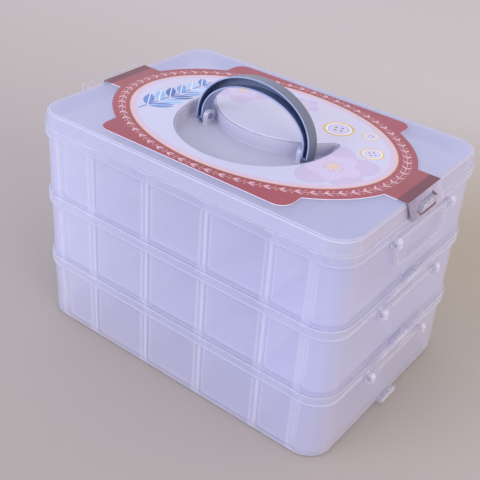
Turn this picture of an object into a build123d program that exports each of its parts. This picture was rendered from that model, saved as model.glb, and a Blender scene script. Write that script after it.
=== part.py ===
from build123d import *

import os
from math import cos, radians, sin, tan

# Three-tier stacking storage box with a lid, a folding handle and side clips
# Millimetres, +Z up, origin at the middle of the base, -Y is the long front side

os.makedirs("parts", exist_ok=True)

# Overall sizes, measured over the tray rims
BOX_LENGTH = 256.0
BOX_WIDTH = 178.0
CORNER_RADIUS = 20.0
TRAY_PITCH = 52.8
TRAY_NAMES = ("bottom", "middle", "top")

# Tray shell
WALL = 1.8
FLOOR = 1.6
RIM_HEIGHT = 7.2
RIM_PROUD = 2.0

# Foot rails that drop inside the rim below, and a pad under the middle of the floor
FOOT_HEIGHT = 1.6
FOOT_WIDTH = 3.0
FOOT_PAD = 16.0
FOOT_CLEARANCE = 0.4

# Compartments
COLUMN_COUNT = 5
CENTRE_WALL = 1.6
INNER_WALL_DROP = 2.2
SLOT_RIB = 2.3
SLOT_DEPTH = 2.4
SLOT_RIB_DROP = 8.0
CORNER_RIB = 5.0
CORNER_RIB_INSET = 3.0
DIVIDER = 1.4
DIVIDER_SIDE_CLEARANCE = 0.3
DIVIDER_END_CLEARANCE = 0.4
DIVIDER_CHAMFER = 2.5
NOTCH_UPPER_WIDTH = 26.0
NOTCH_LOWER_WIDTH = 18.0
NOTCH_DEPTH = 3.5

# Lid
LID_HEIGHT = 10.0
LID_WALL = 1.8
LID_INSET = 0.3
LID_DRAFT = 11.5
LID_EDGE_CHAMFER = 1.2
LID_RAIL_WIDTH = 1.4
LID_RAIL_DEPTH = 1.4

# Crescent pocket in the lid, where the folded handle lies
POCKET_FLOOR_RISE = 1.0
POCKET_WALL = 1.6
POCKET_MARGIN = 10.0
ISLAND_RADIUS = 62.0
ISLAND_CENTRE_Y = 50.0
POCKET_TIP_FILLET = 3.0

# Handle
HANDLE_HALF_WIDTH = 47.0
HANDLE_RISE = 34.6
HANDLE_BAND = 5.0
HANDLE_CROWN = 8.0
HANDLE_DEPTH = 9.8
HANDLE_SKIN = 1.0
HANDLE_LEAN = 7.0
HANDLE_FOOT_FILLET = 4.5
CHANNEL_FOOT = -1.5
PIVOT_RISE = 5.6
PIVOT_Y = -5.6
PIVOT_PIN_RADIUS = 2.2
PIVOT_PIN_CLEARANCE = 0.2
PIVOT_PIN_END = 0.5
EAR_THICKNESS = 3.4
EAR_RADIUS = 4.4
EAR_GAP = 0.5

# Catches on the short sides of the trays and the lid
CATCH_WIDTH = 17.0
CATCH_FOOT = 0.4
CATCH_TOP = 6.2
CATCH_REACH = 3.5
CATCH_NOSE = 2.4
CATCH_BEVEL = 1.4
CATCH_UNDERCUT = 0.8
CATCH_GROOVE = 2.0
CATCH_GROOVE_Y = 2.8

# Clips that hinge below a rim and hook over the catch above it
CLIP_WIDTH = 66.0
CLIP_RAIL = 5.0
CLIP_BAR = 2.6
CLIP_THICKNESS = 2.2
CLIP_CORNER = 3.0
CLIP_WINDOW_CORNER = 1.6
CLIP_PIN_RADIUS = 1.8
CLIP_PIN_LENGTH = 3.4
CLIP_PIN_CLEARANCE = 0.2
CLIP_CATCH_CLEARANCE = 0.6
CLIP_LIP_WIDTH = 28.0
CLIP_LIP_HEIGHT = 1.8
CLIP_LIP_REACH = 1.6
CLIP_STAND_OFF = 1.5
HINGE_BELOW_RIM = 2.8
LUG_RADIUS = 3.8
LUG_THICKNESS = 4.0
LUG_CHAMFER = 1.6
LUG_GAP = 0.4

# How far each clip stands open at rest, in degrees from closed
SEAM_CLIP_OPEN = 14.0
LEFT_TOP_CLIP_OPEN = 30.0
RIGHT_TOP_CLIP_OPEN = 175.0

# Printed card on the lid
CARD = 0.5
CARD_MARGIN_X = 14.0
CARD_MARGIN_Y = 8.0
CARD_PANEL_MARGIN_X = 52.0
CARD_PANEL_MARGIN_Y = 11.0
CARD_PANEL_CORNER = 9.0
CARD_STRAP = 43.0
CARD_OVERHANG = 0.4
CARD_HOLE_MARGIN = 1.4
FLAP_LENGTH = 12.3
FLAP_LEAN = 21.8
FLAP_CORNER = 1.2
FLAP_ROOT = 0.35
SLOT_WIDTH = 26.0
SLOT_SLANT = 4.0
SLOT_HEIGHT = 7.8
SLOT_RISE = 3.222

# Values worked out from the sizes above
HALF_LENGTH = BOX_LENGTH / 2
HALF_WIDTH = BOX_WIDTH / 2
INNER_INSET = RIM_PROUD + WALL
WALL_ROOT = INNER_INSET - WALL / 2
FOOT_INSET = INNER_INSET + FOOT_CLEARANCE
COLUMN_PITCH = (BOX_LENGTH - 2 * INNER_INSET) / COLUMN_COUNT
DIVIDER_X = [(i - (COLUMN_COUNT - 2) / 2) * COLUMN_PITCH for i in range(COLUMN_COUNT - 1)]
STACK_TOP = FOOT_HEIGHT + len(TRAY_NAMES) * TRAY_PITCH
LID_TOP = STACK_TOP + LID_HEIGHT
LID_TOP_INSET = LID_INSET + LID_HEIGHT * tan(radians(LID_DRAFT))
LID_ROOT = LID_INSET + LID_WALL
POCKET_FLOOR = STACK_TOP + POCKET_FLOOR_RISE
POCKET_DEPTH = LID_HEIGHT - POCKET_FLOOR_RISE
POCKET_RADIUS = HANDLE_HALF_WIDTH + POCKET_MARGIN
PIVOT_Z = POCKET_FLOOR + PIVOT_RISE
PIVOT_DROP = LID_TOP - PIVOT_Z
HANDLE_INNER = HANDLE_HALF_WIDTH - HANDLE_BAND
EAR_OUTER = HANDLE_INNER - EAR_GAP
HINGE_X = HALF_LENGTH + CLIP_STAND_OFF
HINGE_DROP = RIM_HEIGHT + HINGE_BELOW_RIM
CLIP_REACH = HINGE_DROP + CATCH_TOP + CLIP_CATCH_CLEARANCE + CLIP_BAR
FOLD_X = HALF_LENGTH - LID_TOP_INSET + CARD_OVERHANG
CARD_RADIUS_X = HALF_LENGTH - CARD_MARGIN_X
CARD_RADIUS_Y = HALF_WIDTH - CARD_MARGIN_Y
CARD_PANEL_LENGTH = BOX_LENGTH - 2 * CARD_PANEL_MARGIN_X
CARD_PANEL_WIDTH = BOX_WIDTH - 2 * CARD_PANEL_MARGIN_Y


def outline(inset):
    """Rounded rectangle of the box seen from above, drawn in by inset."""
    RectangleRounded(BOX_LENGTH - 2 * inset, BOX_WIDTH - 2 * inset, CORNER_RADIUS - inset)


def foot_rails(width):
    """Four straight rails along the sides of the box, just inside the rim below."""
    rail_x = HALF_LENGTH - FOOT_INSET - width / 2
    rail_y = HALF_WIDTH - FOOT_INSET - width / 2
    with Locations((0, -rail_y), (0, rail_y)):
        Rectangle(BOX_LENGTH - 2 * CORNER_RADIUS, width)
    with Locations((-rail_x, 0), (rail_x, 0)):
        Rectangle(width, BOX_WIDTH - 2 * CORNER_RADIUS)


def rim_height(tier):
    """Height of the top face of a tray's rim."""
    return FOOT_HEIGHT + (tier + 1) * TRAY_PITCH


def across(y):
    """Plane that faces the viewer at y, with X to the right and Z up."""
    return Plane(origin=(0, y, 0), x_dir=(1, 0, 0), z_dir=(0, -1, 0))


def add_catches(seam, root_inset):
    """Hooked catches in the middle of both short sides, just above a seam."""
    root = HALF_LENGTH - root_inset
    tip = HALF_LENGTH + CATCH_REACH
    with BuildSketch(across(0)) as hooks:
        with BuildLine():
            Polyline(
                (root, seam + CATCH_FOOT),
                (tip - CATCH_BEVEL, seam + CATCH_FOOT),
                (tip, seam + CATCH_FOOT + CATCH_BEVEL),
                (tip, seam + CATCH_TOP),
                (tip - CATCH_NOSE, seam + CATCH_TOP - CATCH_UNDERCUT),
                (root, seam + CATCH_TOP - CATCH_UNDERCUT),
                close=True,
            )
        make_face()
        mirror(about=Plane.YZ)
    extrude(hooks.sketch, amount=CATCH_WIDTH / 2, both=True)
    groove_z = seam + CATCH_TOP
    for side in (-1, 1):
        for row in (-1, 1):
            with Locations((side * tip, row * CATCH_GROOVE_Y, groove_z)):
                Box(CATCH_GROOVE, CATCH_GROOVE, CATCH_TOP, mode=Mode.SUBTRACT)


def add_lugs(rim_top):
    """Four pierced lugs below a rim that carry the rods of its two clips."""
    hinge_z = rim_top - HINGE_DROP
    root = HALF_LENGTH - WALL_ROOT
    tip = HINGE_X + LUG_RADIUS
    lug_y = CLIP_WIDTH / 2 + LUG_GAP + LUG_THICKNESS / 2
    for row in (-1, 1):
        with BuildSketch(across(row * lug_y)) as lugs:
            with BuildLine():
                Polyline(
                    (root, hinge_z - LUG_RADIUS),
                    (tip - LUG_CHAMFER, hinge_z - LUG_RADIUS),
                    (tip, hinge_z - LUG_RADIUS + LUG_CHAMFER),
                    (tip, hinge_z + LUG_RADIUS - LUG_CHAMFER),
                    (tip - LUG_CHAMFER, hinge_z + LUG_RADIUS),
                    (root, hinge_z + LUG_RADIUS),
                    close=True,
                )
            make_face()
            with Locations((HINGE_X, hinge_z)):
                Circle(CLIP_PIN_RADIUS + CLIP_PIN_CLEARANCE, mode=Mode.SUBTRACT)
            mirror(about=Plane.YZ)
        extrude(lugs.sketch, amount=LUG_THICKNESS / 2, both=True)


def add_slot_ribs(base):
    """Pairs of ribs that hold the dividers, and a broad rib before each corner."""
    shift = DIVIDER / 2 + DIVIDER_SIDE_CLEARANCE + SLOT_RIB / 2
    rib_x = [x + offset_x for x in DIVIDER_X for offset_x in (-shift, shift)]
    corner_x = HALF_LENGTH - CORNER_RADIUS - CORNER_RIB_INSET
    rib_length = INNER_INSET + SLOT_DEPTH - WALL_ROOT
    rib_y = HALF_WIDTH - WALL_ROOT - rib_length / 2
    with BuildSketch(Plane.XY.offset(base + FOOT_HEIGHT + FLOOR / 2)) as ribs:
        for x in rib_x:
            with Locations((x, -rib_y), (x, rib_y)):
                Rectangle(SLOT_RIB, rib_length)
            with Locations((x, 0)):
                Rectangle(SLOT_RIB, CENTRE_WALL + 2 * SLOT_DEPTH)
        for x in (-corner_x, corner_x):
            with Locations((x, -rib_y), (x, rib_y)):
                Rectangle(CORNER_RIB, rib_length)
    extrude(ribs.sketch, amount=TRAY_PITCH - SLOT_RIB_DROP - FLOOR / 2)


def make_tray(tier):
    """One tray: walls, proud rim, foot rails, centre wall, slot ribs, catches and lugs."""
    base = tier * TRAY_PITCH
    seat = base + FOOT_HEIGHT
    floor_top = seat + FLOOR
    rim_top = rim_height(tier)
    with BuildPart() as tray:
        with BuildSketch(Plane.XY.offset(seat)):
            outline(RIM_PROUD)
        extrude(amount=TRAY_PITCH)
        with BuildSketch(Plane.XY.offset(rim_top - RIM_HEIGHT)):
            outline(0)
        extrude(amount=RIM_HEIGHT)
        with BuildSketch(Plane.XY.offset(floor_top)):
            outline(INNER_INSET)
        extrude(amount=TRAY_PITCH - FLOOR, mode=Mode.SUBTRACT)
        with BuildSketch(Plane.XY.offset(base)):
            foot_rails(FOOT_WIDTH)
            Rectangle(FOOT_PAD, FOOT_PAD)
        extrude(amount=FOOT_HEIGHT)
        with BuildSketch(Plane.XY.offset(floor_top - FLOOR / 2)):
            Rectangle(BOX_LENGTH - 2 * WALL_ROOT, CENTRE_WALL)
        extrude(amount=TRAY_PITCH - FLOOR / 2 - INNER_WALL_DROP)
        add_slot_ribs(base)
        add_catches(seat, WALL_ROOT)
        add_lugs(rim_top)
    return tray


def make_divider(tier, row, x):
    """Lift-out cross divider with cut lower corners and a finger notch in its top."""
    lower = tier * TRAY_PITCH + FOOT_HEIGHT + FLOOR
    upper = rim_height(tier) - INNER_WALL_DROP
    inner = CENTRE_WALL / 2 + DIVIDER_END_CLEARANCE
    outer = HALF_WIDTH - INNER_INSET - DIVIDER_END_CLEARANCE
    centre = row * (inner + outer) / 2
    with BuildPart() as divider:
        with BuildSketch(Plane.YZ.offset(x)) as face:
            with Locations((centre, (lower + upper) / 2)):
                Rectangle(outer - inner, upper - lower)
            chamfer(face.vertices().group_by(Axis.Y)[0], DIVIDER_CHAMFER)
            with BuildLine():
                Polyline(
                    (centre - NOTCH_UPPER_WIDTH / 2, upper),
                    (centre - NOTCH_LOWER_WIDTH / 2, upper - NOTCH_DEPTH),
                    (centre + NOTCH_LOWER_WIDTH / 2, upper - NOTCH_DEPTH),
                    (centre + NOTCH_UPPER_WIDTH / 2, upper),
                    close=True,
                )
            make_face(mode=Mode.SUBTRACT)
        extrude(amount=DIVIDER / 2, both=True)
    return divider


def crescent(margin):
    """Plan of the handle pocket grown by margin: a disc with a larger one taken out."""
    Circle(POCKET_RADIUS + margin)
    with Locations((0, ISLAND_CENTRE_Y)):
        Circle(ISLAND_RADIUS - margin, mode=Mode.SUBTRACT)


def make_lid():
    """Shallow lid with sloping sides, a crescent pocket, two pivot ears and rails."""
    with BuildPart() as lid:
        with BuildSketch(Plane.XY.offset(STACK_TOP)):
            outline(LID_INSET)
        extrude(amount=LID_HEIGHT, taper=LID_DRAFT)
        chamfer(lid.faces().sort_by(Axis.Z)[-1].edges(), LID_EDGE_CHAMFER)
        with BuildSketch(Plane.XY.offset(STACK_TOP)):
            outline(LID_ROOT)
        extrude(amount=LID_HEIGHT - LID_WALL, taper=LID_DRAFT, mode=Mode.SUBTRACT)
        with BuildSketch(Plane.XY.offset(STACK_TOP - LID_RAIL_DEPTH)):
            foot_rails(LID_RAIL_WIDTH)
        extrude(amount=LID_RAIL_DEPTH + LID_HEIGHT - LID_WALL / 2)
        with BuildSketch(Plane.XY.offset(POCKET_FLOOR - POCKET_WALL)) as tub:
            crescent(POCKET_WALL)
            fillet(tub.vertices(), POCKET_TIP_FILLET + POCKET_WALL)
        extrude(amount=POCKET_DEPTH + POCKET_WALL - LID_WALL / 2)
        with BuildSketch(Plane.XY.offset(POCKET_FLOOR)) as pocket:
            crescent(0)
            fillet(pocket.vertices(), POCKET_TIP_FILLET)
        extrude(amount=POCKET_DEPTH, mode=Mode.SUBTRACT)
        for side in (-1, 1):
            ear_x = side * (EAR_OUTER - EAR_THICKNESS / 2)
            with BuildSketch(Plane.YZ.offset(ear_x)):
                with Locations((PIVOT_Y, PIVOT_Z)):
                    Circle(EAR_RADIUS)
                with Locations((PIVOT_Y, (PIVOT_Z + POCKET_FLOOR) / 2)):
                    Rectangle(2 * EAR_RADIUS, PIVOT_Z - POCKET_FLOOR)
                with Locations((PIVOT_Y, PIVOT_Z)):
                    Circle(PIVOT_PIN_RADIUS + PIVOT_PIN_CLEARANCE, mode=Mode.SUBTRACT)
            extrude(amount=EAR_THICKNESS / 2, both=True)
        add_catches(STACK_TOP, LID_ROOT)
    return lid


def arch(skin):
    """Half ellipse on straight legs, drawn in by skin on its outer side."""
    half_width = HANDLE_HALF_WIDTH - skin
    with Locations((0, PIVOT_DROP)):
        Ellipse(half_width, HANDLE_RISE - skin)
    with Locations((0, (PIVOT_DROP - HANDLE_DEPTH / 2) / 2)):
        Rectangle(2 * half_width, PIVOT_DROP + HANDLE_DEPTH / 2)


def arch_opening(skin):
    """The space under the arch, grown by skin, and all that lies below its feet."""
    half_width = HANDLE_INNER + skin
    with Locations((0, PIVOT_DROP)):
        Ellipse(half_width, HANDLE_RISE - HANDLE_CROWN + skin, mode=Mode.SUBTRACT)
    with Locations((0, PIVOT_DROP - HANDLE_HALF_WIDTH)):
        Rectangle(2 * half_width, 2 * HANDLE_HALF_WIDTH, mode=Mode.SUBTRACT)
    with Locations((0, -HANDLE_DEPTH / 2 - HANDLE_HALF_WIDTH)):
        Rectangle(3 * HANDLE_HALF_WIDTH, 2 * HANDLE_HALF_WIDTH, mode=Mode.SUBTRACT)


def make_handle():
    """Moulded arch of channel section, open to the front, with a pin in each foot."""
    lean = radians(HANDLE_LEAN)
    handle_plane = Plane(
        origin=(0, PIVOT_Y, PIVOT_Z), x_dir=(1, 0, 0), z_dir=(0, -cos(lean), sin(lean)))
    with BuildPart() as handle:
        with BuildSketch(handle_plane):
            arch(0)
            arch_opening(0)
        extrude(amount=HANDLE_DEPTH / 2, both=True)
        fillet(handle.edges().filter_by(Axis.X), HANDLE_FOOT_FILLET)
        with BuildSketch(handle_plane.offset(HANDLE_DEPTH / 2)):
            arch(HANDLE_SKIN)
            arch_opening(HANDLE_SKIN)
            with Locations((0, CHANNEL_FOOT - HANDLE_HALF_WIDTH)):
                Rectangle(3 * HANDLE_HALF_WIDTH, 2 * HANDLE_HALF_WIDTH, mode=Mode.SUBTRACT)
        extrude(amount=HANDLE_SKIN - HANDLE_DEPTH, mode=Mode.SUBTRACT)
        pin_tip = EAR_OUTER - EAR_THICKNESS - PIVOT_PIN_END
        for side in (-1, 1):
            with BuildSketch(Plane.YZ.offset(side * (pin_tip + HANDLE_INNER + HANDLE_SKIN) / 2)):
                with Locations((PIVOT_Y, PIVOT_Z)):
                    Circle(PIVOT_PIN_RADIUS)
            extrude(amount=(HANDLE_INNER + HANDLE_SKIN - pin_tip) / 2, both=True)
    return handle


def make_clip(tier, side, opening):
    """Framed clip on a rod, with a bar that hooks over a catch and a finger lip."""
    hinge_z = rim_height(tier) - HINGE_DROP
    lean = radians(opening)
    clip_plane = Plane(
        origin=(side * HINGE_X, 0, hinge_z),
        x_dir=(0, side, 0),
        z_dir=(side * cos(lean), 0, -sin(lean)),
    )
    hinge_plane = Plane(origin=(side * HINGE_X, 0, hinge_z), x_dir=(1, 0, 0), z_dir=(0, -1, 0))
    window_height = CLIP_REACH - CLIP_BAR - CLIP_PIN_RADIUS
    with BuildPart() as clip:
        with BuildSketch(clip_plane) as frame:
            with Locations((0, CLIP_REACH / 2)):
                Rectangle(CLIP_WIDTH, CLIP_REACH)
            chamfer(frame.vertices().group_by(Axis.Y)[-1], CLIP_CORNER)
            with BuildSketch(mode=Mode.SUBTRACT) as window:
                with Locations((0, CLIP_PIN_RADIUS + window_height / 2)):
                    Rectangle(CLIP_WIDTH - 2 * CLIP_RAIL, window_height)
                chamfer(window.vertices(), CLIP_WINDOW_CORNER)
        extrude(amount=CLIP_THICKNESS / 2, both=True)
        with BuildSketch(hinge_plane):
            Circle(CLIP_PIN_RADIUS)
        extrude(amount=CLIP_WIDTH / 2 + CLIP_PIN_LENGTH, both=True)
        with BuildSketch(clip_plane.offset(CLIP_THICKNESS / 2)):
            with Locations((0, CLIP_REACH - CLIP_LIP_HEIGHT / 2)):
                Rectangle(CLIP_LIP_WIDTH, CLIP_LIP_HEIGHT)
        extrude(amount=CLIP_LIP_REACH)
    return clip


def make_card():
    """Die-cut card: oval with a squared panel and a strap whose ends fold down."""
    with BuildPart() as card:
        with BuildSketch(Plane.XY.offset(LID_TOP)):
            Ellipse(CARD_RADIUS_X, CARD_RADIUS_Y)
            Rectangle(2 * CARD_RADIUS_X, CARD_PANEL_WIDTH, mode=Mode.INTERSECT)
            RectangleRounded(CARD_PANEL_LENGTH, CARD_PANEL_WIDTH, CARD_PANEL_CORNER)
            Rectangle(2 * FOLD_X, CARD_STRAP)
        extrude(amount=CARD)
        with BuildSketch(Plane.XY.offset(LID_TOP)) as hole:
            crescent(CARD_HOLE_MARGIN)
            fillet(hole.vertices(), POCKET_TIP_FILLET + CARD_HOLE_MARGIN)
        extrude(amount=CARD, mode=Mode.SUBTRACT)
        lean = radians(FLAP_LEAN)
        middle = (SLOT_RISE - LID_HEIGHT) / cos(lean)
        upper = middle + SLOT_HEIGHT / 2
        lower = middle - SLOT_HEIGHT / 2
        for side in (-1, 1):
            flap_plane = Plane(
                origin=(side * FOLD_X, 0, LID_TOP),
                x_dir=(0, side, 0),
                z_dir=(side * cos(lean), 0, sin(lean)),
            )
            with BuildSketch(flap_plane) as flap:
                with Locations((0, (FLAP_ROOT - FLAP_LENGTH) / 2)):
                    Rectangle(CARD_STRAP, FLAP_LENGTH + FLAP_ROOT)
                chamfer(flap.vertices().group_by(Axis.Y)[0], FLAP_CORNER)
                with BuildLine():
                    Polyline(
                        (-SLOT_WIDTH / 2, middle),
                        (SLOT_SLANT - SLOT_WIDTH / 2, upper),
                        (SLOT_WIDTH / 2 - SLOT_SLANT, upper),
                        (SLOT_WIDTH / 2, middle),
                        (SLOT_WIDTH / 2 - SLOT_SLANT, lower),
                        (SLOT_SLANT - SLOT_WIDTH / 2, lower),
                        close=True,
                    )
                make_face(mode=Mode.SUBTRACT)
            extrude(amount=CARD)
    return card


def save(piece, name):
    """Label a finished piece and write it to its own file."""
    piece.part.label = name
    export_step(piece.part, f"parts/{name}.step")


clip_openings = {
    ("bottom", "left"): SEAM_CLIP_OPEN,
    ("bottom", "right"): SEAM_CLIP_OPEN,
    ("middle", "left"): SEAM_CLIP_OPEN,
    ("middle", "right"): SEAM_CLIP_OPEN,
    ("top", "left"): LEFT_TOP_CLIP_OPEN,
    ("top", "right"): RIGHT_TOP_CLIP_OPEN,
}

for tier, tray_name in enumerate(TRAY_NAMES):
    save(make_tray(tier), f"{tray_name}_tray")
    for row, row_name in ((-1, "front"), (1, "back")):
        for number, divider_x in enumerate(DIVIDER_X, start=1):
            divider_name = f"{tray_name}_divider_{row_name}_{number}"
            save(make_divider(tier, row, divider_x), divider_name)
    for side, side_name in ((-1, "left"), (1, "right")):
        clip_piece = make_clip(tier, side, clip_openings[tray_name, side_name])
        save(clip_piece, f"{tray_name}_clip_{side_name}")

save(make_lid(), "lid")
save(make_handle(), "handle")
save(make_card(), "lid_card")
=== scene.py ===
from math import cos, hypot, pi, radians, sin

import bpy
from mathutils import Matrix, Vector

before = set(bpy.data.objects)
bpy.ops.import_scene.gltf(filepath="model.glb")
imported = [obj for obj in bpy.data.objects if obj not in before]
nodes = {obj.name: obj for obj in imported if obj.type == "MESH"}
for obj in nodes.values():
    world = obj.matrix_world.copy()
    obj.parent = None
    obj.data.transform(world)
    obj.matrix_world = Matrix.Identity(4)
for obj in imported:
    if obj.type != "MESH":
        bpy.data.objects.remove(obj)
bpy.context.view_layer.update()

# Camera fitted to the photograph: place in metres, turns in degrees, lens in millimetres
CAMERA_PLACE = (0.3025, -0.4401, 0.4242)
CAMERA_AZIMUTH = 35.24
CAMERA_ELEVATION = 33.07
CAMERA_ROLL = 4.59
CAMERA_LENS = 64.56
CAMERA_SENSOR = 36.0

# Floor, lamps and surroundings, in metres and watts, with linear colours
FLOOR_HALF = 4.0
# Front and back ends of the floor's painted light, lighter towards the back
FLOOR_FRONT = -0.35
FLOOR_BACK = 0.55
# Painted shadow of the box on the floor: its middle, then where it begins and where it is full
PAINTED_SHADOW = (0.10, 0.24)
PAINTED_SHADOW_OUTER = 0.28
PAINTED_SHADOW_INNER = 0.04
KEY_PLACE = (-1.6, -3.0, 1.15)
KEY_AIM = (0.0, 0.0, 0.09)
KEY_SIZE = 2.6
KEY_POWER = 86.0
KEY_COLOUR = (0.90, 0.92, 1.0)
FILL_PLACE = (3.0, -0.8, 1.05)
FILL_AIM = (0.0, 0.0, 0.1)
FILL_SIZE = 2.2
FILL_POWER = 56.0
FILL_COLOUR = (1.0, 0.90, 0.78)
COOL_SIDE = (0.92, 0.94, 1.06, 1.0)
WARM_SIDE = (1.0, 0.92, 0.80, 1.0)

# Part of a noise's range that is mapped to the range asked for
NOISE_LOW = 0.3
NOISE_HIGH = 0.7

# Spacing of the cross dividers and of the trays, in metres; the ribs stand half a step off
# the middle
COLUMN_PITCH = 0.04968
TRAY_PITCH = 0.0528

# Frosted plastic, in metres: radius of its soft edges, then where the painted shade that turns
# the walls bluer towards the right, the short ends, the lugs and catches on them, and the greyer
# low part, painted shade with the floor's warm tone seen through, begin and are full
FROSTED_EDGE = 0.0009
RIGHT_SHADE_START = -0.12
RIGHT_SHADE_FULL = 0.10
END_START = 0.1225
END_FULL = 0.1255
FITTING_START = 0.1295
FITTING_FULL = 0.1301
LOW_START = 0.070
LOW_FULL = 0.004

# Bands where ribs stand behind the walls, and a painted highlight band where the corners curve,
# in metres, each with the width of its soft edge
BAND_HALF_WIDTH = 0.0030
BAND_EDGE = 0.0012
LAST_COLUMN = 0.099
LAST_COLUMN_EDGE = 0.002
CORNER_HIGHLIGHT = (0.1017, 0.1083)
CORNER_HIGHLIGHT_EDGE = 0.001
WALL_FACE = 0.0815
WALL_FACE_EDGE = 0.0005
BAND_TOP = 0.0467
CENTRE_WALL = 0.0034
BAND_END_EDGE = 0.0006

# Lid's top and its pocket, in metres, with the width of the mask's soft edge
LID_TOP = 0.170
POCKET_RADIUS = 0.057
POCKET_WALL = 0.001
POCKET_DROP = 0.0001
POCKET_EDGE = 0.0005

# Handle at rest, in metres: radius of its soft edges, pivot, shoulder above it, half width
# and height of the arch at its outer and inner band, and the rims' distance in front of it
# with the width of their soft edge; backward lean in degrees
HANDLE_EDGE = 0.0005
HANDLE_PIVOT_Y = -0.0056
HANDLE_PIVOT_Z = 0.1666
HANDLE_SHOULDER = 0.0034
HANDLE_OUTER = (0.047, 0.0346)
HANDLE_INNER = (0.042, 0.0266)
HANDLE_RIM_FRONT = 0.0046
HANDLE_RIM_EDGE = 0.0002
HANDLE_LEAN = 7.0

# Card and its oval, in millimetres, with where the oval's change of tone along y, the painted
# shade towards the folds across x and the painted shade across the flaps along y begin and are
# full
MILLIMETRES_PER_METRE = 1000.0
CARD_RX = 114.0
CARD_RY = 81.0
CARD_FOLD = 119.0
PRINT_EDGE = 0.12
OVAL_RX = 100.0
OVAL_RY = 69.0
GILT_LINE = 0.9
OVAL_RING = 4.2
CREAM_SHADE = (-60.0, 60.0)
FOLD_SHADE = (100.0, 112.0)
FLAP_SHADE = (-28.0, 20.0)

# Garland of leaves, each a length and a width, with a stem and berries, in millimetres
GARLAND_RX = 107.0
GARLAND_RY = 74.5
GARLAND_MEAN_RADIUS = 90.0
GARLAND_LEAVES = 64
GARLAND_STEP = 9.2
GARLAND_LEAF = (5.2, 1.5)
GARLAND_LEAF_START = 2.6
GARLAND_LEAF_TURN = 32.0
GARLAND_STEM = 0.28
BERRY_OFFSET = 2.1
BERRY_RADIUS = 0.5

# Blossoms as x, y, size and turn, buttons as x, y, radius and turn
BLOSSOMS = ((-44, 40, 23, 12), (69, -14, 30, 40), (2, 50, 13, 0))
BUTTONS = ((42, 35, 11.0, 20), (78, 19, 8.0, 50), (64, 41, 6.0, 0))
PETALS = 5
PETAL_DEPTH = 0.34
PETAL_LINE = 0.35
STAMENS = 10

# Sprig: its stem as middle, turn, half length, half width and corner, then the first pair
# of leaves, the step to the next pair, and what each next leaf loses in length and width
SPRIG_MIDDLE = (-73, -2)
SPRIG_TURN = 84
SPRIG_STEM = (36, 0.6, 0.4)
SPRIG_FOOT = (-75.6, -30)
SPRIG_STEP = (1.1, 10.5)
SPRIG_LEAF = (20.0, 8.0)
SPRIG_LEAF_LOSS = (1.0, 0.4)
SPRIG_LEAF_TURN = 42
SPRIG_VEIN = 0.3

# Slot in each folded end of the card, and the painted shadow line along its lower and far edges
SLOT_MIDDLE = 163.2
SLOT_HALF_WIDTH = 13.0
SLOT_HALF_HEIGHT = 3.6
SLOT_SLANT = 4.0
SLOT_SHADOW_WIDTH = 1.0
SLOT_FAR = (7.6, 8.6)
SLOT_LOWER = (0.3, -0.3)


def rgb(red, green, blue):
    """Linear colour from values on the 0 to 255 display scale."""
    def linear(value):
        share = value / 255
        return share / 12.92 if share <= 0.04045 else ((share + 0.055) / 1.055) ** 2.4
    return (linear(red), linear(green), linear(blue), 1.0)


GREYER = rgb(204, 197, 216)
PALE_END = rgb(230, 224, 231)
RIGHT_SHADE_BLUE = rgb(182, 190, 246)
POCKET_GREY = rgb(194, 192, 217)
LEAF_PINK = rgb(222, 190, 204)
DEEP_BLUE = rgb(78, 104, 170)
MID_BLUE = rgb(96, 128, 196)
SPRIG_BLUES = (MID_BLUE, rgb(148, 182, 226), DEEP_BLUE, rgb(120, 160, 214),
               rgb(176, 200, 236), MID_BLUE)


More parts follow.
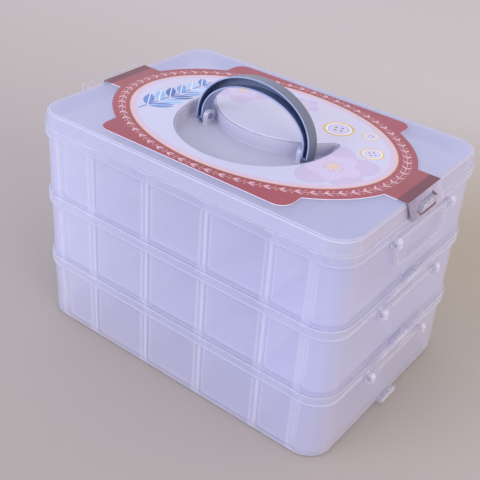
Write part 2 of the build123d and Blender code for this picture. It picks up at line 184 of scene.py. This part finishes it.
class Tree:
    """A material's node tree, with short calls for its maths, colours and noises."""

    def __init__(self, name):
        self.material = bpy.data.materials.new(name)
        self.material.use_nodes = True
        self.tree = self.material.node_tree
        self.shader = self.tree.nodes["Principled BSDF"]
        self.place = self.node("ShaderNodeTexCoord").outputs["Object"]
        axes = self.node("ShaderNodeSeparateXYZ")
        self.link(self.place, axes.inputs[0])
        self.x, self.y, self.z = axes.outputs

    def node(self, kind, **settings):
        made = self.tree.nodes.new(kind)
        for key, value in settings.items():
            setattr(made, key, value)
        return made

    def link(self, source, socket):
        """Link a socket to a socket, or write a number or colour on it."""
        if hasattr(source, "is_linked"):
            self.tree.links.new(source, socket)
        else:
            socket.default_value = source

    def math(self, operation, *values):
        made = self.node("ShaderNodeMath", operation=operation)
        for value, socket in zip(values, made.inputs):
            self.link(value, socket)
        return made.outputs[0]

    def distance(self, u, v):
        """Distance from the origin of u and v."""
        return self.math("SQRT", self.math("ADD", self.math("POWER", u, 2.0),
                                           self.math("POWER", v, 2.0)))

    def mix(self, factor, below, above):
        made = self.node("ShaderNodeMix", data_type="RGBA")
        self.link(factor, made.inputs[0])
        self.link(below, made.inputs[6])
        self.link(above, made.inputs[7])
        return made.outputs[2]

    def ramp(self, value, low, high, out_low=0.0, out_high=1.0):
        made = self.node("ShaderNodeMapRange")
        self.link(value, made.inputs["Value"])
        for name, number in (("From Min", low), ("From Max", high),
                             ("To Min", out_low), ("To Max", out_high)):
            made.inputs[name].default_value = number
        return made.outputs[0]

    def noise(self, scale, detail, stretch=(1, 1, 1)):
        mapping = self.node("ShaderNodeMapping")
        mapping.inputs["Scale"].default_value = stretch
        self.link(self.place, mapping.inputs["Vector"])
        made = self.node("ShaderNodeTexNoise")
        made.inputs["Scale"].default_value = scale
        made.inputs["Detail"].default_value = detail
        self.link(mapping.outputs[0], made.inputs["Vector"])
        return made.outputs["Fac"]

    def clouds(self, scale, detail, low=0.0, high=1.0, stretch=(1, 1, 1)):
        """Noise spread out from low to high."""
        return self.ramp(self.noise(scale, detail, stretch), NOISE_LOW, NOISE_HIGH, low, high)

    def bump(self, height, strength, distance, normal=None):
        made = self.node("ShaderNodeBump")
        made.inputs["Strength"].default_value = strength
        made.inputs["Distance"].default_value = distance
        self.link(height, made.inputs["Height"])
        if normal is not None:
            self.link(normal, made.inputs["Normal"])
        return made.outputs["Normal"]

    def soft_edges(self, radius):
        """Rounded normal, and a mask that is 1 on the piece's edges."""
        bevel = self.node("ShaderNodeBevel", samples=4)
        bevel.inputs["Radius"].default_value = radius
        geometry = self.node("ShaderNodeNewGeometry")
        dot = self.node("ShaderNodeVectorMath", operation="DOT_PRODUCT")
        self.link(bevel.outputs[0], dot.inputs[0])
        self.link(geometry.outputs["True Normal"], dot.inputs[1])
        return bevel.outputs[0], self.ramp(dot.outputs["Value"], 0.995, 0.9)

    def shade(self, inputs):
        """Give the shader its inputs by name, and return the material."""
        for name, value in inputs.items():
            self.link(value, self.shader.inputs[name])
        return self.material


def rib_bands_and_highlight(t, side):
    """Mask of the bands where ribs stand behind a tray's walls and centre wall, and of a painted
    highlight band where the walls' corners curve.
    """
    half = COLUMN_PITCH / 2
    column = t.math("PINGPONG", t.x, half)
    beside = t.ramp(column, half - BAND_HALF_WIDTH - BAND_EDGE, half - BAND_HALF_WIDTH)
    inner_columns = t.ramp(side, LAST_COLUMN + LAST_COLUMN_EDGE, LAST_COLUMN)
    beside = t.math("MULTIPLY", beside, inner_columns)
    # Painted highlight band where the corners curve
    low, high = CORNER_HIGHLIGHT
    corner = t.math("MULTIPLY", t.ramp(side, low, low + CORNER_HIGHLIGHT_EDGE),
                    t.ramp(side, high, high - CORNER_HIGHLIGHT_EDGE))
    depth = t.math("ABSOLUTE", t.y)
    tier = t.math("MODULO", t.z, TRAY_PITCH)
    wall = t.math("MULTIPLY", t.ramp(depth, WALL_FACE, WALL_FACE + WALL_FACE_EDGE),
                  t.ramp(tier, BAND_TOP + BAND_END_EDGE, BAND_TOP))
    centre = t.ramp(depth, CENTRE_WALL + BAND_END_EDGE, CENTRE_WALL)
    beside = t.math("MULTIPLY", beside, t.math("MAXIMUM", wall, centre))
    return t.math("MAXIMUM", beside, t.math("MULTIPLY", corner, wall))


def pocket_tub(t):
    """Mask of the lid's pocket, below the lid's top."""
    away = t.distance(t.x, t.y)
    reach = POCKET_RADIUS + POCKET_WALL
    top = LID_TOP - POCKET_DROP
    return t.math("MULTIPLY", t.ramp(away, reach + POCKET_EDGE, reach),
                  t.ramp(t.z, top, top - POCKET_EDGE))


def frosted_plastic(name, tint, edge_tint, alpha, edge_alpha, ribs=False, pocket=False):
    """Frosted see-through plastic: cloudy tint, whiter and denser at edges, ribs and pocket, with
    painted highlights at edges and corners and painted shade at the right and low down.
    """
    t = Tree(name)
    normal, edges = t.soft_edges(FROSTED_EDGE)
    darker = [c * 0.98 for c in tint[:3]] + [1.0]
    base = t.mix(t.ramp(t.noise(9.0, 3.0), 0.35, 0.7), darker, tint)
    side = t.math("ABSOLUTE", t.x)
    # Painted shade: greyer low part, with the floor's warm tone seen through
    low = t.ramp(t.z, LOW_START, LOW_FULL, 0.0, 0.55)
    base = t.mix(low, base, GREYER)
    end = t.ramp(side, END_START, END_FULL, 0.0, 0.6)
    base = t.mix(end, base, PALE_END if ribs else GREYER)
    dense = edges
    if ribs:
        # Painted shade: bluer towards the right
        right_shade = t.ramp(t.x, RIGHT_SHADE_START, RIGHT_SHADE_FULL)
        base = t.mix(t.math("MULTIPLY", right_shade, 0.24), base, RIGHT_SHADE_BLUE)
        fittings = t.ramp(side, FITTING_START, FITTING_FULL, 0.0, 0.2)
        base = t.mix(fittings, base, edge_tint)
        dense = t.math("MAXIMUM", edges, fittings)
        rib_and_highlight_bands = rib_bands_and_highlight(t, side)
        base = t.mix(t.math("MULTIPLY", rib_and_highlight_bands, 0.2), base, edge_tint)
        edges = t.math("MULTIPLY", edges, t.math("SUBTRACT", 1.0, rib_and_highlight_bands))
        dense = t.math("MAXIMUM", dense, t.math("MULTIPLY", rib_and_highlight_bands, 0.22))
    if pocket:
        tub = pocket_tub(t)
        base = t.mix(tub, base, POCKET_GREY)
        dense = t.math("MAXIMUM", dense, tub)
    # Whiter edges: the plastic's denser edge with a painted highlight
    base = t.mix(t.math("MULTIPLY", edges, 0.9), base, edge_tint)
    height = t.math("ADD", t.math("MULTIPLY", t.noise(2600.0, 1.0), 0.25), t.noise(45.0, 2.0))
    return t.shade({
        "Base Color": base,
        "Roughness": t.clouds(30.0, 2.0, 0.30, 0.44, stretch=(0.3, 0.3, 1.6)),
        "Normal": t.bump(height, 0.10, 0.0006, normal),
        "Alpha": t.ramp(dense, 0.0, 1.0, alpha, edge_alpha),
        "IOR": 1.45,
        "Specular IOR Level": 0.4,
    })


def handle_plastic():
    """Moulded slate plastic as lit and shaded copies: grey outer band as painted reflection, navy
    channel in painted shade, slate inner band, pale rims as painted highlight.
    """
    t = Tree("handle_slate_plastic")
    normal, edges = t.soft_edges(HANDLE_EDGE)
    lean_sin, lean_cos = sin(radians(HANDLE_LEAN)), cos(radians(HANDLE_LEAN))
    y = t.math("SUBTRACT", t.y, HANDLE_PIVOT_Y)
    z = t.math("SUBTRACT", t.z, HANDLE_PIVOT_Z)
    rise = t.math("ADD", t.math("MULTIPLY", y, lean_sin), t.math("MULTIPLY", z, lean_cos))
    rise = t.math("MAXIMUM", t.math("SUBTRACT", rise, HANDLE_SHOULDER), 0.0)
    front = t.math("SUBTRACT", t.math("MULTIPLY", z, lean_sin), t.math("MULTIPLY", y, lean_cos))

    def reach(half_width, height):
        return t.distance(t.math("DIVIDE", t.x, half_width), t.math("DIVIDE", rise, height))

    outer = t.ramp(reach(*HANDLE_OUTER), 0.984, 0.992)
    inner = t.ramp(reach(*HANDLE_INNER), 1.018, 1.008)
    rim_highlight = t.ramp(front, HANDLE_RIM_FRONT, HANDLE_RIM_FRONT + HANDLE_RIM_EDGE)
    mottle = t.noise(60.0, 3.0)
    # Lit and shaded copies of one plastic: navy channel in painted shade, slate inner band
    # lighter, grey outer band a painted reflection, pale rims a painted highlight
    base = t.mix(mottle, rgb(66, 80, 124), rgb(88, 104, 150))
    base = t.mix(inner, base, t.mix(mottle, rgb(98, 112, 152), rgb(116, 130, 170)))
    base = t.mix(outer, base, t.mix(mottle, rgb(86, 91, 114), rgb(98, 104, 126)))
    base = t.mix(rim_highlight, base, rgb(136, 150, 194))
    # Painted highlight on the edges
    base = t.mix(t.math("MULTIPLY", edges, 0.5), base, rgb(176, 188, 220))
    return t.shade({
        "Base Color": base,
        "Roughness": t.clouds(90.0, 3.0, 0.26, 0.40),
        "Normal": t.bump(t.noise(1800.0, 1.0), 0.08, 0.0003, normal),
        "Coat Weight": 0.2,
        "Coat Roughness": 0.25,
    })


class CardPrint(Tree):
    """Printed card: each shape is a mask over x and y in millimetres on the card."""

    def __init__(self, name):
        super().__init__(name)
        self.x = self.math("MULTIPLY", self.x, MILLIMETRES_PER_METRE)
        self.y = self.math("MULTIPLY", self.y, MILLIMETRES_PER_METRE)
        self.z = self.math("MULTIPLY", self.z, MILLIMETRES_PER_METRE)

    def turned(self, u, v, turn):
        """u and v along axes turned by an angle in degrees."""
        c, s = cos(radians(turn)), sin(radians(turn))
        along = self.math("ADD", self.math("MULTIPLY", u, c), self.math("MULTIPLY", v, s))
        across = self.math("SUBTRACT", self.math("MULTIPLY", v, c), self.math("MULTIPLY", u, s))
        return along, across

    def local(self, cx, cy, turn=0.0):
        """x and y measured from a centre, along axes turned by an angle in degrees."""
        u = self.math("SUBTRACT", self.x, cx)
        v = self.math("SUBTRACT", self.y, cy)
        return self.turned(u, v, turn) if turn else (u, v)

    def inside(self, distance):
        """1 where a distance in millimetres is negative, with a crisp soft edge."""
        return self.ramp(distance, PRINT_EDGE, -PRINT_EDGE)

    def within(self, value, limit):
        """1 where a value in millimetres is under a limit."""
        return self.inside(self.math("SUBTRACT", value, limit))

    def both(self, one, other):
        return self.math("MULTIPLY", one, other)

    def ellipse(self, cx, cy, rx, ry):
        u, v = self.local(cx, cy)
        away = self.distance(self.math("DIVIDE", u, rx), self.math("DIVIDE", v, ry))
        away = self.math("SUBTRACT", away, 1.0)
        return self.inside(self.math("MULTIPLY", away, min(rx, ry)))

    def box(self, u, v, half_u, half_v, corner):
        """Rounded rectangle about the origin of u and v."""
        qu = self.math("SUBTRACT", self.math("ABSOLUTE", u), half_u - corner)
        qv = self.math("SUBTRACT", self.math("ABSOLUTE", v), half_v - corner)
        outside = self.distance(self.math("MAXIMUM", qu, 0.0), self.math("MAXIMUM", qv, 0.0))
        middle = self.math("MINIMUM", self.math("MAXIMUM", qu, qv), 0.0)
        return self.within(self.math("ADD", outside, middle), corner)

    def leaf(self, u, v, length, width):
        """Pointed leaf from the origin along u."""
        share = self.math("DIVIDE", u, length)
        arch = self.math("MULTIPLY", share, self.math("SUBTRACT", 1.0, share))
        return self.inside(self.math("SUBTRACT", self.math("ABSOLUTE", v),
                                     self.math("MULTIPLY", arch, 2.0 * width)))

    def petal_wave(self, u, v):
        """1 along the middle of each petal, 0 between petals."""
        angle = self.math("MULTIPLY", self.math("ARCTAN2", v, u), PETALS / 2)
        return self.math("ABSOLUTE", self.math("COSINE", angle))

    def blossom(self, cx, cy, size, turn):
        """Round-petalled flower."""
        u, v = self.local(cx, cy, turn)
        share = self.math("MULTIPLY", self.petal_wave(u, v), PETAL_DEPTH)
        reach = self.math("MULTIPLY", self.math("ADD", share, 1.0 - PETAL_DEPTH), size)
        return self.within(self.distance(u, v), reach)

    def petal_lines(self, cx, cy, size, turn):
        """Fine lines from a blossom's middle out between its petals."""
        u, v = self.local(cx, cy, turn)
        away = self.distance(u, v)
        line = self.within(self.math("MULTIPLY", self.petal_wave(u, v), away), PETAL_LINE)
        return self.both(line, self.ramp(away, size * 0.6, size * 0.3))

    def stamens(self, cx, cy, reach):
        """Ring of dots about a centre."""
        u, v = self.local(cx, cy)
        turn = self.math("MULTIPLY", self.math("ARCTAN2", v, u), STAMENS / (2 * pi))
        along = self.math("SUBTRACT", self.math("FRACT", self.math("ADD", turn, STAMENS)), 0.5)
        along = self.math("MULTIPLY", along, 2 * pi * reach / STAMENS)
        out = self.math("SUBTRACT", self.distance(u, v), reach)
        return self.within(self.distance(along, out), reach * 0.14)

    def slot_shadow(self):
        """Painted shadow line along the lower and far edges of the six-sided slot in a folded
        end.
        """
        slope = hypot(SLOT_HALF_HEIGHT, SLOT_SLANT)
        out = self.math("SUBTRACT", self.math("ABSOLUTE", self.y), SLOT_HALF_WIDTH)
        rise = self.math("SUBTRACT", self.z, SLOT_MIDDLE)
        height = self.math("ABSOLUTE", rise)
        flat = self.math("SUBTRACT", height, SLOT_HALF_HEIGHT)
        slanted = self.math("ADD", self.math("MULTIPLY", out, SLOT_HALF_HEIGHT / slope),
                            self.math("MULTIPLY", height, SLOT_SLANT / slope))
        line = self.within(self.math("MAXIMUM", flat, slanted), SLOT_SHADOW_WIDTH)
        far = self.ramp(self.y, *SLOT_FAR)
        return self.both(line, self.math("MAXIMUM", self.ramp(rise, *SLOT_LOWER), far))


def add_garland(p, base):
    """Small leaves, a stem and berries along the middle of the border."""
    sweep = p.math("ARCTAN2", p.math("DIVIDE", p.y, CARD_RY), p.math("DIVIDE", p.x, CARD_RX))
    step = p.math("MULTIPLY", sweep, GARLAND_LEAVES / (2 * pi))
    along = p.math("FRACT", p.math("ADD", step, GARLAND_LEAVES))
    along = p.math("MULTIPLY", p.math("SUBTRACT", along, 0.5), GARLAND_STEP)
    away = p.distance(p.math("DIVIDE", p.x, GARLAND_RX), p.math("DIVIDE", p.y, GARLAND_RY))
    away = p.math("MULTIPLY", p.math("SUBTRACT", away, 1.0), GARLAND_MEAN_RADIUS)
    for side in (-1, 1):
        start = p.math("ADD", along, GARLAND_LEAF_START)
        u, v = p.turned(start, away, side * GARLAND_LEAF_TURN)
        base = p.mix(p.math("MULTIPLY", p.leaf(u, v, *GARLAND_LEAF), 0.72), base, LEAF_PINK)
    stem = p.within(p.math("ABSOLUTE", away), GARLAND_STEM)
    base = p.mix(p.math("MULTIPLY", stem, 0.6), base, LEAF_PINK)
    berry = p.distance(p.math("SUBTRACT", p.math("ABSOLUTE", along), GARLAND_STEP / 2),
                       p.math("SUBTRACT", p.math("ABSOLUTE", away), BERRY_OFFSET))
    berry = p.math("MULTIPLY", p.within(berry, BERRY_RADIUS), 0.8)
    return p.mix(berry, base, rgb(222, 186, 140))


def add_oval(p, base, oval):
    """Pale oval with a pink ring and a thin gilt line round it."""
    gilt = p.ellipse(0, 0, OVAL_RX + GILT_LINE, OVAL_RY + GILT_LINE)
    base = p.mix(gilt, base, rgb(206, 170, 130))
    base = p.mix(p.ellipse(0, 0, OVAL_RX, OVAL_RY), base, rgb(198, 177, 202))
    cream = p.mix(p.ramp(p.y, *CREAM_SHADE), rgb(188, 189, 217), rgb(194, 190, 213))
    return p.mix(oval, base, cream)


def add_blossoms(p, base, oval):
    """Large pale blossoms, each with a smaller one, petal lines and stamens in it."""
    for cx, cy, size, turn in BLOSSOMS:
        base = p.mix(p.both(p.blossom(cx, cy, size, turn), oval), base, rgb(186, 174, 207))
        small = p.both(p.blossom(cx, cy, size * 0.62, turn + 180 / PETALS), oval)
        base = p.mix(small, base, rgb(194, 183, 214))
        base = p.mix(p.petal_lines(cx, cy, size, turn), base, rgb(172, 158, 194))
        heart = p.both(p.ellipse(cx, cy, size * 0.12, size * 0.12), oval)
        base = p.mix(heart, base, rgb(210, 182, 162))
        base = p.mix(p.stamens(cx, cy, size * 0.2), base, rgb(196, 164, 146))
    return base


def add_buttons(p, base):
    """Loose four-hole buttons with gilt rims."""
    gold = p.mix(p.clouds(90.0, 2.0), rgb(196, 158, 84), rgb(222, 188, 116))
    for cx, cy, size, turn in BUTTONS:
        u, v = p.local(cx, cy, turn)
        away = p.distance(u, v)
        for share, colour in ((1.0, gold), (0.84, rgb(216, 216, 240)),
                              (0.68, rgb(176, 170, 200)), (0.58, rgb(200, 194, 220))):
            base = p.mix(p.within(away, size * share), base, colour)
        hole_u = p.math("SUBTRACT", p.math("ABSOLUTE", u), size * 0.2)
        hole_v = p.math("SUBTRACT", p.math("ABSOLUTE", v), size * 0.2)
        base = p.mix(p.within(p.distance(hole_u, hole_v), size * 0.1), base, rgb(120, 112, 150))
    return base


def add_sprig(p, base, oval):
    """Blue leaves in pairs along a stem, smaller towards its tip."""
    shade = p.clouds(240.0, 2.0, 0.0, 0.25)
    u, v = p.local(*SPRIG_MIDDLE, SPRIG_TURN)
    base = p.mix(p.box(u, v, *SPRIG_STEM), base, DEEP_BLUE)
    for number, blue in enumerate(SPRIG_BLUES):
        cx, cy = (foot + number * step for foot, step in zip(SPRIG_FOOT, SPRIG_STEP))
        length, width = (size - number * loss
                         for size, loss in zip(SPRIG_LEAF, SPRIG_LEAF_LOSS))
        for side in (-1, 1):
            u, v = p.local(cx, cy, SPRIG_TURN - side * SPRIG_LEAF_TURN)
            vein = p.within(p.math("ABSOLUTE", v), SPRIG_VEIN)
            colour = p.mix(vein, p.mix(shade, blue, rgb(60, 84, 150)), rgb(226, 236, 250))
            leaf = p.both(p.leaf(u, v, length, width), oval)
            base = p.mix(leaf, base, colour)
    return base


def add_ends(p, base):
    """Painted shade darkening the print towards the folds and along them, pale cut edges, and
    greyer folded ends with painted shade across them and a painted shadow line in their slots.
    """
    side = p.math("ABSOLUTE", p.x)
    # Painted shade: the print darkens towards the folds and most along them
    base = p.mix(p.ramp(side, *FOLD_SHADE, 0.0, 0.3), base, rgb(118, 74, 76))
    base = p.mix(p.ramp(side, CARD_FOLD - 1.0, CARD_FOLD + 0.6, 0.0, 0.75), base, rgb(84, 40, 58))
    geometry = p.node("ShaderNodeNewGeometry")
    facing = p.node("ShaderNodeSeparateXYZ")
    p.link(geometry.outputs["True Normal"], facing.inputs[0])
    up = p.ramp(facing.outputs[2], 0.75, 0.9)
    # Painted shade across each folded end
    flap = p.mix(p.ramp(p.y, *FLAP_SHADE), rgb(112, 106, 134), rgb(168, 162, 190))
    # Painted shadow along the slot's lower and far edges
    flap = p.mix(p.slot_shadow(), flap, rgb(98, 52, 58))
    raw = p.mix(p.ramp(side, CARD_FOLD, CARD_FOLD + 0.4), rgb(224, 220, 240), flap)
    raw = p.mix(p.clouds(320.0, 3.0, 0.0, 0.2), raw, rgb(206, 202, 226))
    return p.mix(up, raw, base)


def card_print():
    """Rose border with a garland, pale oval, blossoms, gilt-rimmed buttons and a blue sprig."""
    p = CardPrint("card_print")
    oval = p.ellipse(0, 0, OVAL_RX - OVAL_RING, OVAL_RY - OVAL_RING)
    base = p.mix(p.clouds(7.0, 2.0), rgb(142, 58, 72), rgb(158, 72, 84))
    base = add_garland(p, base)
    base = add_oval(p, base, oval)
    base = add_blossoms(p, base, oval)
    base = add_buttons(p, base)
    base = add_sprig(p, base, oval)
    base = add_ends(p, base)
    fibre = p.math("ADD", p.noise(24.0, 2.0), p.math("MULTIPLY", p.noise(900.0, 1.0), 0.05))
    return p.shade({
        "Base Color": base,
        "Roughness": p.clouds(50.0, 3.0, 0.30, 0.42),
        "Normal": p.bump(fibre, 0.12, 0.0006),
    })


def floor_paper():
    """Pale paper, painted lighter towards the back as painted light, with a warm-tinted painted
    shadow beside the box.
    """
    t = Tree("floor_paper")
    # Painted light: lighter towards the back
    painted_light_back = t.ramp(t.y, FLOOR_FRONT, FLOOR_BACK)
    base = t.mix(painted_light_back, rgb(161, 154, 151), rgb(190, 182, 182))
    # Painted shadow of the box, warm-tinted
    away = t.distance(t.math("SUBTRACT", t.x, PAINTED_SHADOW[0]),
                      t.math("SUBTRACT", t.y, PAINTED_SHADOW[1]))
    painted_shadow = t.ramp(away, PAINTED_SHADOW_OUTER, PAINTED_SHADOW_INNER, 0.0, 0.85)
    base = t.mix(painted_shadow, base, rgb(174, 162, 146))
    base = t.mix(t.clouds(420.0, 3.0, 0.0, 0.05), base, rgb(120, 112, 112))
    return t.shade({
        "Base Color": base,
        "Normal": t.bump(t.noise(900.0, 2.0), 0.05, 0.0002),
        "Roughness": 0.8,
        "Specular IOR Level": 0.1,
    })


def dress(names, material):
    """Give CAD nodes a material in every slot."""
    for name in names:
        slots = nodes[name].data.materials
        if not slots:
            slots.append(material)
        for number in range(len(slots)):
            slots[number] = material


def add_camera():
    """Camera turned by the fitted azimuth, elevation and roll."""
    azimuth, elevation, roll = map(radians, (CAMERA_AZIMUTH, CAMERA_ELEVATION, CAMERA_ROLL))
    forward = Vector((-sin(azimuth) * cos(elevation), cos(azimuth) * cos(elevation),
                      -sin(elevation)))
    level = Vector((cos(azimuth), sin(azimuth), 0.0))
    rise = level.cross(forward)
    right = level * cos(roll) + rise * sin(roll)
    up = rise * cos(roll) - level * sin(roll)
    data = bpy.data.cameras.new("photo_camera")
    data.lens = CAMERA_LENS
    data.sensor_width = CAMERA_SENSOR
    data.sensor_fit = "HORIZONTAL"
    camera = bpy.data.objects.new("photo_camera", data)
    turn = Matrix((right, up, -forward)).transposed().to_4x4()
    camera.matrix_world = Matrix.Translation(CAMERA_PLACE) @ turn
    bpy.context.scene.collection.objects.link(camera)
    bpy.context.scene.camera = camera


def add_floor():
    """Pale floor with painted light and a painted shadow."""
    half = FLOOR_HALF
    mesh = bpy.data.meshes.new("floor")
    corners = [(-half, -half, 0), (half, -half, 0), (half, half, 0), (-half, half, 0)]
    mesh.from_pydata(corners, [], [(0, 1, 2, 3)])
    mesh.materials.append(floor_paper())
    floor = bpy.data.objects.new("floor", mesh)
    bpy.context.scene.collection.objects.link(floor)


def add_light(name, place, aim, size, power, colour):
    """Soft square lamp."""
    data = bpy.data.lights.new(name, "AREA")
    data.size = size
    data.energy = power
    data.color = colour
    lamp = bpy.data.objects.new(name, data)
    lamp.location = place
    lamp.rotation_euler = (Vector(aim) - Vector(place)).to_track_quat("-Z", "Y").to_euler()
    bpy.context.scene.collection.objects.link(lamp)


def add_world():
    """Even pale surroundings, cool at the left and warmer at the right."""
    world = bpy.data.worlds.new("studio")
    world.use_nodes = True
    tree = world.node_tree
    background = tree.nodes["Background"]
    axes = tree.nodes.new("ShaderNodeSeparateXYZ")
    tree.links.new(tree.nodes.new("ShaderNodeTexCoord").outputs["Generated"], axes.inputs[0])
    warmth = tree.nodes.new("ShaderNodeMapRange")
    warmth.inputs["From Min"].default_value = 0.0
    warmth.inputs["From Max"].default_value = 0.9
    tree.links.new(axes.outputs[0], warmth.inputs["Value"])
    colour = tree.nodes.new("ShaderNodeMix")
    colour.data_type = "RGBA"
    tree.links.new(warmth.outputs[0], colour.inputs[0])
    colour.inputs[6].default_value = COOL_SIDE
    colour.inputs[7].default_value = WARM_SIDE
    tree.links.new(colour.outputs[2], background.inputs["Color"])
    background.inputs["Strength"].default_value = 1.0
    bpy.context.scene.world = world


tray_plastic = frosted_plastic("frosted_shell", rgb(218, 220, 255), rgb(240, 241, 255),
                               0.37, 0.70, ribs=True)
divider_plastic = frosted_plastic("frosted_divider", rgb(222, 223, 252), rgb(246, 246, 255),
                                  0.34, 0.55)
lid_plastic = frosted_plastic("frosted_lid", rgb(198, 200, 233), rgb(230, 232, 252),
                              0.46, 0.80, pocket=True)
clip_plastic = frosted_plastic("frosted_clip", rgb(214, 215, 240), rgb(232, 233, 252),
                               0.16, 0.40)

dress([name for name in nodes if name.endswith("_tray")], tray_plastic)
dress([name for name in nodes if "_divider_" in name], divider_plastic)
dress([name for name in nodes if "_clip_" in name], clip_plastic)
dress(["lid"], lid_plastic)
dress(["handle"], handle_plastic())
dress(["lid_card"], card_print())

add_camera()
add_floor()
add_world()
add_light("key", KEY_PLACE, KEY_AIM, KEY_SIZE, KEY_POWER, KEY_COLOUR)
add_light("fill", FILL_PLACE, FILL_AIM, FILL_SIZE, FILL_POWER, FILL_COLOUR)

bpy.context.scene.view_settings.view_transform = "Standard"
